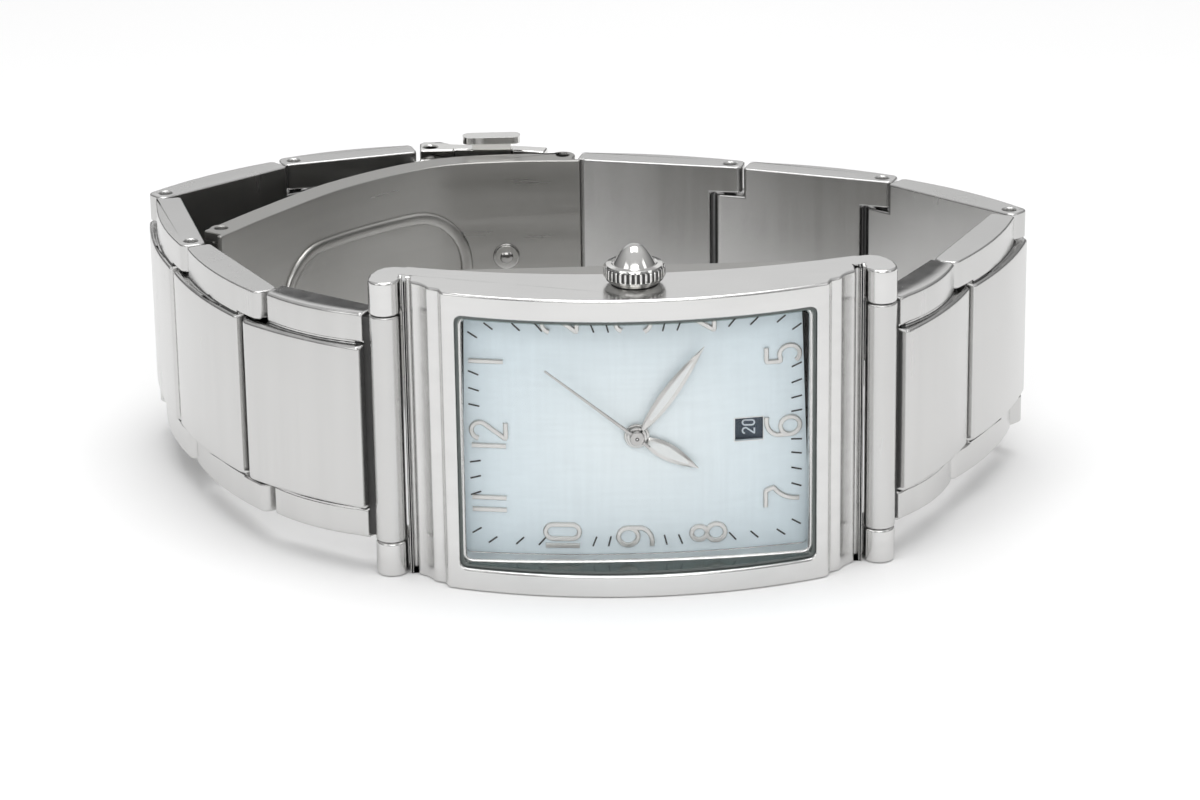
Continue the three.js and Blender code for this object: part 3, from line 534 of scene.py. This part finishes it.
dayStrokes = []
for day in range(1, days["count"] + 1):
    turn = (day - days["shown"]) / days["count"] * 2 * math.pi
    dayStrokes += numberParts(str(day), days["height"], days["gap"], onDisc(turn),
                              days["wire"], days["rise"], days["sink"])
meshPiece("date_numbers", *gatherParts(dayStrokes), lightInk, "date_wheel", True, "date_lacquer")
print("dial markings made")


# Raised plates of the links.

plate = dict(half=7.22, start=1.62, tip=1.28, shortTip=-1.6, startHeight=1.78, tipHeight=1.40,
             crown=0.56, base=-0.2, edge=0.28, tipEdge=0.8)
rail = dict(low=1.15, high=1.75, inner=7.42, outer=10.02, base=-1.1, start=-0.55, endStart=2.25,
            stop=1.85, cover=1.58, coverLift=0.03, coverEdge=0.25)
# Painted shade: dark strips on the rail along the foot of the raised plate stand in for the shade in the narrow
# groove between plate and rail.
grooveShade = dict(inner=7.16, outer=7.42, lift=0.015, depth=0.15, start=0.1, stop=1.62)

# the painted-shade strips across a link, dark sheets standing in for the shade in the gap to the next link: start
# along it, how far they pass the plate, half width, height, depth
seamShade = dict(start=1.46, past=-0.01, half=7.2, height=0.9, depth=1.9)
endGapShade = dict(start=0.9, past=0.02, half=9.7, height=0.85, depth=1.4)


def centreOf(node):
    low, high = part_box(node)
    return np.array([(low.x + high.x) / 2, (low.y + high.y) / 2]) / mm


# Along runs from one pivot to the next, and out stands square to it on the bracelet's outer side.
def linkPlace(start, end, side):
    along = (end - start) / np.linalg.norm(end - start)
    out = np.array([-along[1], along[0]]) * side
    return lambda x, y, z: np.stack([
        start[0] + along[0] * x + out[0] * y,
        start[1] + along[1] * x + out[1] * y,
        case["midZ"] + z,
    ], -1)


def rimSteps(low, high, lowRim, highRim, count):
    fine = np.array([0, 0.03, 0.12, 0.3, 0.55, 0.8, 1.0])
    middle = np.linspace(low + lowRim, high - highRim, count)
    return np.unique(np.r_[low + fine * lowRim, middle, high - fine * highRim].round(5))


# A pad with rounded rims: inside a rim of radius r the top falls by r times one minus the root of one
# minus q squared, where q grows from 0 to 1 towards the edge.
def slab(place, x0, x1, z0, z1, top, base, rims, side, flip):
    xs, zs = rimSteps(x0, x1, *rims, 14), rimSteps(z0, z1, side, side, 4)
    x, z = np.meshgrid(xs, zs, indexing="ij")
    qx = np.maximum(0, np.maximum(1 - (x - x0) / rims[0], 1 - (x1 - x) / rims[1]))
    qz = np.maximum(0, 1 - np.minimum(z - z0, z1 - z) / side)
    rx = np.where(x - x0 < x1 - x, rims[0], rims[1])
    total = qx ** 2 + qz ** 2
    r = (rx * qx ** 2 + side * qz ** 2) / (total + 1e-9)
    y = top(x) - r * (1 - np.sqrt(1 - np.minimum(1, total)))
    rows, columns = x.shape
    count = rows * columns
    x, y, z = x.ravel(), y.ravel(), z.ravel()
    points = np.concatenate([place(x, y, z), place(x, np.full(count, base), z)])
    i, j = np.meshgrid(np.arange(rows - 1), np.arange(columns - 1), indexing="ij")
    a = (i * columns + j).ravel()
    upper = np.stack([a, a + 1, a + columns + 1, a + columns], -1)
    lower = upper[:, ::-1] + count
    rim = np.r_[
        np.arange(columns),
        np.arange(1, rows) * columns + columns - 1,
        (rows - 1) * columns + np.arange(columns - 2, -1, -1),
        np.arange(rows - 2, 0, -1) * columns,
    ]
    after = np.roll(rim, -1)
    walls = np.stack([rim, rim + count, after + count, after], -1)
    faces = np.concatenate([upper, lower, walls])
    return points, (faces[:, ::-1] if flip else faces).tolist()


# A thin strip on a curved top, from x0 to x1.
def band(place, x0, x1, z0, z1, top, depth, flip):
    steps = 18
    x = np.linspace(x0, x1, steps)
    y = top(x)
    corners = ((0, z0), (0, z1), (-depth, z1), (-depth, z0))
    points = np.stack([place(x, y + h, np.full(steps, z)) for h, z in corners], 1).reshape(-1, 3)
    faces = sweepFaces(steps, 4)
    return points, [f[::-1] for f in faces] if flip else faces


chains = {
    "left": ["left_spring_bar", *(f"left_link_pin_{i}" for i in range(1, 5)), "cover_pin"],
    "right": ["right_spring_bar", *(f"right_link_pin_{i}" for i in range(1, 5)), "inner_blade_pin"],
}
for side, pivotNodes in chains.items():
    turned = side == "right"
    for i, (first, second) in enumerate(zip(pivotNodes[:-1], pivotNodes[1:])):
        name = f"{side}_link_{i + 1}" if i else f"{side}_end_link"
        start, end = centreOf(first), centreOf(second)
        pitch = float(np.linalg.norm(end - start))
        place = linkPlace(start, end, -1 if turned else 1)
        x0, x1 = plate["start"], pitch + plate["tip"]
        if name == "right_link_5":
            x1 = pitch + plate["shortTip"]

        # A straight fall from start to tip with a low arch on it.
        def plateTop(x, x0=x0, x1=x1):
            t = (x - x0) / (x1 - x0)
            return plate["startHeight"] + (plate["tipHeight"] - plate["startHeight"]) * t + plate["crown"] * 4 * t * (1 - t)

        # An arch between the rail's rounded ends.
        def railTop(x, low=rail["start"] if i else rail["endStart"], high=pitch - rail["stop"]):
            t = np.clip((x - low) / (high - low), 0, 1)
            return rail["low"] + (rail["high"] - rail["low"]) * 4 * t * (1 - t)

        tipRim = plate["edge"] if name == "right_link_5" else plate["tipEdge"]
        cover = [slab(place, x0, x1, -plate["half"], plate["half"], plateTop, plate["base"],
                      (plate["edge"], tipRim), plate["edge"], turned)]
        if i == 0:
            for z0, z1 in ((rail["inner"], rail["outer"]), (-rail["outer"], -rail["inner"])):
                cover.append(slab(place, x0, pitch - rail["cover"], z0, z1,
                                  lambda x, top=railTop: top(x) + rail["coverLift"], rail["base"],
                                  (rail["coverEdge"],) * 2, rail["coverEdge"], turned))
        meshPiece(f"{name}_plate", *gatherParts(cover), linkSteel, name, True, "polished_steel")
        lines = []
        # Painted shade: dark strips along both grooves of the plate, where there is only shade.
        for z0, z1 in ((grooveShade["inner"], grooveShade["outer"]), (-grooveShade["outer"], -grooveShade["inner"])):
            lines.append(band(place, x0 + grooveShade["start"], pitch - grooveShade["stop"], z0, z1,
                              lambda x, top=railTop: top(x) + grooveShade["lift"], grooveShade["depth"], turned))
        # Painted shade: a dark strip across the gap to the next link, or to the bar at the end link, where there is
        # only shade.
        strip = seamShade if i else endGapShade
        lines.append(band(place, strip["start"], x0 + strip["past"], -strip["half"], strip["half"],
                          lambda x, height=strip["height"]: np.full_like(x, height), strip["depth"], turned))
        meshPiece(f"{name}_groove", *gatherParts(lines), gapShade, name, False, "plain_steel")
print("link plates made")


# Hands.

handShapes = {
    "hour_hand": dict(body="hours", angle=210.4, length=5.9, width=1.5, boss=1.05, front=-3.88, thick=0.2),
    "minute_hand": dict(body="minutes", angle=125.7, length=9.6, width=1.25, boss=0.85, front=-4.2, thick=0.18),
}


# A hand's own length and side turned about the hub.
def handPlace(angle):
    a = math.radians(angle - 180)
    c, s = math.cos(a), math.sin(a)
    return lambda run, w, y: np.stack([run * c + w * s, y, case["midZ"] - run * s + w * c], -1)


# Half width of a leaf: a sine of the length, drawn towards the hub, with a thin stem.
def leafHalf(t, width):
    return np.maximum(width / 2 * np.sin(math.pi * np.clip(t, 0, 1) ** 0.82) ** 0.9, 0.045)


# Rings across the leaf: a flat top with sloped sides.
def leafRings(place, shape, start, stop, shrink, y, thick):
    s = np.linspace(start, stop, 34)
    t = (s - 0.4) / (shape["length"] - 0.4)
    half = np.maximum(leafHalf(t, shape["width"]) - shrink, 0.02)
    across = np.array([1.0, 0.55, -0.55, -1.0, -1.0, 1.0])
    up = np.array([0.4, 0.0, 0.0, 0.4, 1.0, 1.0]) * thick
    points = place(np.repeat(s, 6), (half[:, None] * across).ravel(), np.tile(y + up, len(s)))
    return points, sweepFaces(len(s), 6)


# A short turned boss with a small chamfer on its front rim.
def discSolid(place, radius, front, back, sides=40, chamfer=0.05):
    a = np.arange(sides) / sides * 2 * math.pi
    rings = [(radius - chamfer, front), (radius, front + chamfer), (radius, back)]
    points = np.concatenate([place(r * np.cos(a), r * np.sin(a), np.full(sides, y)) for r, y in rings])
    return points, [f[::-1] for f in sweepFaces(3, sides)]


for node, shape in handShapes.items():
    place = handPlace(shape["angle"])
    metal = [leafRings(place, shape, 0.4, shape["length"], 0.0, shape["front"], shape["thick"]),
             discSolid(place, shape["boss"], shape["front"], shape["front"] + shape["thick"])]
    leaf = meshPiece(f"{node}_leaf", *gatherParts(metal), numeralSteel, shape["body"], False, "hand_steel")
    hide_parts(node)
    inset = leafRings(place, shape, shape["length"] * 0.2, shape["length"] * 0.84,
                      0.27, shape["front"] - 0.012, 0.05)
    meshPiece(f"{node}_inset", *inset, handInset, shape["body"], False, "hand_steel")

needle = dict(angle=39.1, tail=-1.3, tip=9.78, wide=0.15, narrow=0.085, front=-4.5, thick=0.14, steps=24)
needlePlace = handPlace(needle["angle"])


# Rings across the needle: the half width runs straight from the hub to the tip.
def needleRings():
    run = np.linspace(needle["tail"], needle["tip"], needle["steps"])
    half = np.interp(run, (needle["tail"], 0, needle["tip"]), (needle["wide"], needle["wide"], needle["narrow"]))
    across = np.array([1.0, 0.6, -0.6, -1.0, -1.0, 1.0])
    up = np.array([0.5, 0.0, 0.0, 0.5, 1.0, 1.0]) * needle["thick"]
    points = needlePlace(np.repeat(run, 6), (half[:, None] * across).ravel(),
                         np.tile(needle["front"] + up, len(run)))
    return points, sweepFaces(len(run), 6)


needleHub = discSolid(needlePlace, 0.62, -4.62, -4.3, 40, 0.06)
needlePiece = meshPiece("second_hand_needle", *gatherParts([needleRings(), needleHub]), needleSteel,
                        "seconds", False, "hand_steel")
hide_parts("second_hand")
# Painted shade: a near-black disc on the hub stands in for the shade inside its hole.
hubHole = discSolid(needlePlace, 0.17, -4.63, -4.55, 20, 0.01)
meshPiece("hand_hub_hole", *hubHole, gapShade, "seconds", False, "hand_steel")
hubEye = discSolid(needlePlace, 0.085, -4.645, -4.55, 16, 0.02)
meshPiece("hand_hub_eye", *hubEye, brightSteel, "seconds", False, "hand_steel")

windowFrame = dict(x=9.4, halfX=1.235, halfZ=1.035, wire=0.09, rise=0.03, sink=0.02)
corners = np.array([(-1, -1), (1, -1), (1, 1), (-1, 1), (-1, -1)], float)
edges = []
for a, b in zip(corners[:-1], corners[1:]):
    path = np.stack([a, (a + b) / 2, b]) * [windowFrame["halfZ"], windowFrame["halfX"]]
    edges.append(strokeSolid(path, 1.0, onDial(windowFrame["x"], 0.0),
                             windowFrame["wire"], windowFrame["rise"], windowFrame["sink"]))
meshPiece("date_window_frame", *gatherParts(edges), handInset, "head", False, "dial_lacquer")
print("hands made")


# The crown's coin edge.

coin = dict(x=0.0, y=-2.7, foot=26.27, root=2.46, crest=2.58, low=0.58, high=1.42,
            teeth=36, width=0.2, rootSides=72, sunk=0.1, shoulder=0.04, chamfer=0.05)


# A ring round the crown's own line: radius times cosine and sine of the angle.
def coinPoints(radius, angle, z):
    x, y = coin["x"] + radius * np.cos(angle), coin["y"] + radius * np.sin(angle)
    return np.stack([x, y, coin["foot"] + z], -1)


def coinRoot():
    sides = coin["rootSides"]
    angle = np.arange(sides) / sides * 2 * math.pi
    rings = [coinPoints(np.full(sides, coin["root"]), angle, np.full(sides, z)) for z in (coin["low"], coin["high"])]
    return np.concatenate(rings), sweepFaces(2, sides)


# One tooth: a low trapezoid across, with a small chamfer at both ends.
def coinTooth(middle):
    foot, crest = coin["root"] - coin["sunk"], coin["crest"]
    radii = np.array([foot, crest - coin["shoulder"], crest, crest, crest - coin["shoulder"], foot])
    spread = coin["width"] / 2 / crest
    turns = middle + spread * np.array([-1.3, -1.1, -0.5, 0.5, 1.1, 1.3])
    levels = ((coin["low"] + 0.02, coin["chamfer"]), (coin["low"] + 0.1, 0.0),
              (coin["high"] - 0.1, 0.0), (coin["high"] - 0.02, coin["chamfer"]))
    rings = [coinPoints(radii - cut, turns, np.full(6, z)) for z, cut in levels]
    return np.concatenate(rings), sweepFaces(4, 6)


# Painted shade: the root between the teeth is near black, standing in for the shade between them.
meshPiece("crown_coin_root", *coinRoot(), gapShade, "crown_turn", False, "polished_steel")
teeth = [coinTooth(i / coin["teeth"] * 2 * math.pi) for i in range(coin["teeth"])]
meshPiece("crown_coin_teeth", *gatherParts(teeth), brightSteel, "crown_turn", False, "polished_steel")
print("crown edge made")


# The pressed frame and the rivet on the inner blade.

pressed = dict(centreX=-22.9, halfLength=10.7, halfHeight=5.3, corner=5.0, wire=1.15, rise=0.28, sink=0.1)


# Sampled points of the blade's wrist side, found by rays along y, with their running length.
def bladeLine():
    piece = nodes["inner_blade"]
    points = [piece.matrix_world @ v.co for v in piece.data.vertices]
    tree = BVHTree.FromPolygons(points, [list(p.vertices) for p in piece.data.polygons])
    xs = np.linspace(-34.0, -8.0, 66)
    ys = []
    for x in xs:
        hit = tree.ray_cast(Vector((x * mm, 0.012, (case["midZ"] + 4.3) * mm)), Vector((0, 1, 0)))
        ys.append(hit[0].y / mm if hit[0] else np.nan)
    ys = np.array(ys)
    good = ~np.isnan(ys)
    padded = np.pad(ys[good], 2, mode="reflect", reflect_type="odd")
    xs, ys = xs[good], np.convolve(padded, np.ones(5) / 5, "valid")
    run = np.r_[0, np.cumsum(np.hypot(np.diff(xs), np.diff(ys)))]
    return xs, ys, run


bladeX, bladeY, bladeRun = bladeLine()
bladeMiddle = float(np.interp(pressed["centreX"], bladeX, bladeRun))


# u runs along the blade, v is the height, and h stands off towards the wrist.
def onBlade(u, v, h):
    s = bladeMiddle + np.asarray(u)
    x, y = np.interp(s, bladeRun, bladeX), np.interp(s, bladeRun, bladeY)
    dx = np.interp(s + 0.6, bladeRun, bladeX) - np.interp(s - 0.6, bladeRun, bladeX)
    dy = np.interp(s + 0.6, bladeRun, bladeY) - np.interp(s - 0.6, bladeRun, bladeY)
    size = np.hypot(dx, dy)
    return np.stack([x + h * dy / size, y - h * dx / size, case["midZ"] + v], -1)


# A rectangle with round corners, once round.
def softRectangle(halfLength, halfHeight, corner, steps=9):
    parts = []
    for cx, cy, a in ((1, 1, 0), (-1, 1, 90), (-1, -1, 180), (1, -1, 270)):
        parts.append(bow(cx * (halfLength - corner), cy * (halfHeight - corner), corner, corner, a, a + 90, steps))
        nextCorner = {0: (-1, 1), 90: (-1, -1), 180: (1, -1), 270: (1, 1)}[a]
        if a in (0, 180):
            run = np.linspace(cx, nextCorner[0], 16)[1:-1] * (halfLength - corner)
            parts.append(np.stack([run, np.full(len(run), cy * halfHeight)], -1))
    return np.concatenate(parts)


ringPath = softRectangle(pressed["halfLength"], pressed["halfHeight"], pressed["corner"])
pressedRing = strokeSolid(ringPath, 1.0, onBlade, pressed["wire"], pressed["rise"], pressed["sink"], loop=True)
meshPiece("inner_blade_pressed_frame", *pressedRing, satinSteel, "inner_blade", True, "satin_steel")

postLow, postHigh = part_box("latch_post")
rivet = dict(ring=1.12, wire=0.26, ringRise=0.16, ringSink=0.2, dome=0.82, rise=0.62, sink=0.3,
             inset=1.1, sides=32)
rivetX = postLow.x / mm + rivet["inset"]
rivetRun = float(np.interp(rivetX, bladeX, bladeRun)) - bladeMiddle
rivetZ = (postLow.z + postHigh.z) / 2 / mm - case["midZ"]
circle = bow(rivetRun, rivetZ, rivet["ring"], rivet["ring"], 0, 360, 33)[:-1]


# Rings of the dome: radius times the cosine and rise times the sine of the slope angle.
def rivetDome():
    sides = rivet["sides"]
    angle = np.arange(sides) / sides * 2 * math.pi
    slopes = np.radians((0, 15, 32, 50, 68, 84))
    rings = [(rivet["dome"], -rivet["sink"])]
    rings += [(rivet["dome"] * math.cos(t), rivet["rise"] * math.sin(t)) for t in slopes]
    points = [onBlade(rivetRun + r * np.cos(angle), rivetZ + r * np.sin(angle), np.full(sides, h)) for r, h in rings]
    return np.concatenate(points), sweepFaces(len(rings), sides)


rivetRing = strokeSolid(circle, 1.0, onBlade, rivet["wire"], rivet["ringRise"], rivet["ringSink"], loop=True)
meshPiece("latch_post_head", *gatherParts([rivetRing, rivetDome()]), rivetSteel,
          "inner_blade", True, "polished_steel")
print("blade details made")


# Camera.

view = dict(place=(-14.150, -325.060, 134.923), target=(-2.884, 0.0, 14.989), roll=-0.829, lens=124.2)


# Looks from place to target, then turns about its own axis by the roll.
def makeCamera():
    place, target = Vector(view["place"]) * mm, Vector(view["target"]) * mm
    forward = (target - place).normalized()
    right = forward.cross(Vector((0, 0, 1))).normalized()
    up = right.cross(forward)
    r = math.radians(view["roll"])
    turnedRight = right * math.cos(r) + up * math.sin(r)
    turnedUp = up * math.cos(r) - right * math.sin(r)
    data = bpy.data.cameras.new("studioCamera")
    data.lens = view["lens"]
    data.sensor_width = 36.0
    data.clip_start = 0.01
    camera = bpy.data.objects.new("studioCamera", data)
    scene.collection.objects.link(camera)
    camera.matrix_world = Matrix((
        (turnedRight.x, turnedUp.x, -forward.x, place.x),
        (turnedRight.y, turnedUp.y, -forward.y, place.y),
        (turnedRight.z, turnedUp.z, -forward.z, place.z),
        (0, 0, 0, 1),
    ))
    scene.camera = camera


makeCamera()

# Studio.

studio = dict(floorHalf=3.0, floorTone=0.97)


# A wide square just under the case.
def makeFloor():
    h = studio["floorHalf"]
    mesh = bpy.data.meshes.new("studioFloor")
    mesh.from_pydata([(-h, -h, -2e-5), (h, -h, -2e-5), (h, h, -2e-5), (-h, h, -2e-5)], [], [(0, 1, 2, 3)])
    tone = studio["floorTone"]
    mesh.materials.append(plainFinish("paperFloor", (tone - 0.01,) * 3, (tone,) * 3, 0.7, 8.0, bump=0.0))
    floor = bpy.data.objects.new("studioFloor", mesh)
    scene.collection.objects.link(floor)


# Soft surround: darker round the horizon, bright overhead.
def makeSky():
    world = bpy.data.worlds.new("studioSurround")
    world.use_nodes = True
    nodeList, links = world.node_tree.nodes, world.node_tree.links
    coords = nodeList.new("ShaderNodeTexCoord")
    split = nodeList.new("ShaderNodeSeparateXYZ")
    ramp = nodeList.new("ShaderNodeValToRGB")
    ramp.color_ramp.elements[0].position = 0.0
    ramp.color_ramp.elements[0].color = (0.10, 0.10, 0.102, 1)
    ramp.color_ramp.elements[1].position = 0.75
    ramp.color_ramp.elements[1].color = (1.0, 1.0, 1.0, 1)
    middle = ramp.color_ramp.elements.new(0.25)
    middle.color = (0.40, 0.40, 0.40, 1)
    links.new(coords.outputs["Generated"], split.inputs["Vector"])
    links.new(split.outputs["Z"], ramp.inputs["Fac"])
    links.new(ramp.outputs["Color"], nodeList["Background"].inputs["Color"])
    nodeList["Background"].inputs["Strength"].default_value = 0.66
    scene.world = world


def areaLight(name, place, target, size, power):
    data = bpy.data.lights.new(name, "AREA")
    data.shape = "RECTANGLE"
    data.size, data.size_y = size
    data.energy = power
    lamp = bpy.data.objects.new(name, data)
    lamp.location = place
    lamp.rotation_euler = (Vector(target) - Vector(place)).to_track_quat("-Z", "Y").to_euler()
    scene.collection.objects.link(lamp)


makeFloor()
makeSky()
areaLight("overheadSoftbox", (0.0, 0.02, 0.5), (0, 0.04, 0), (0.36, 0.3), 1.2)
areaLight("leftSoftbox", (-0.45, -0.35, 0.3), (0, 0, 0.01), (0.25, 0.3), 0.35)
areaLight("frontSoftbox", (0.0, -0.62, 0.42), (0, 0, 0.012), (0.5, 0.3), 1.3)
areaLight("backSoftbox", (-0.10, 0.80, 0.36), (0, 0, 0.02), (0.8, 0.3), 0.42)
areaLight("rightSoftbox", (0.5, -0.25, 0.3), (0, 0, 0.01), (0.15, 0.3), 0.18)
print("studio made")
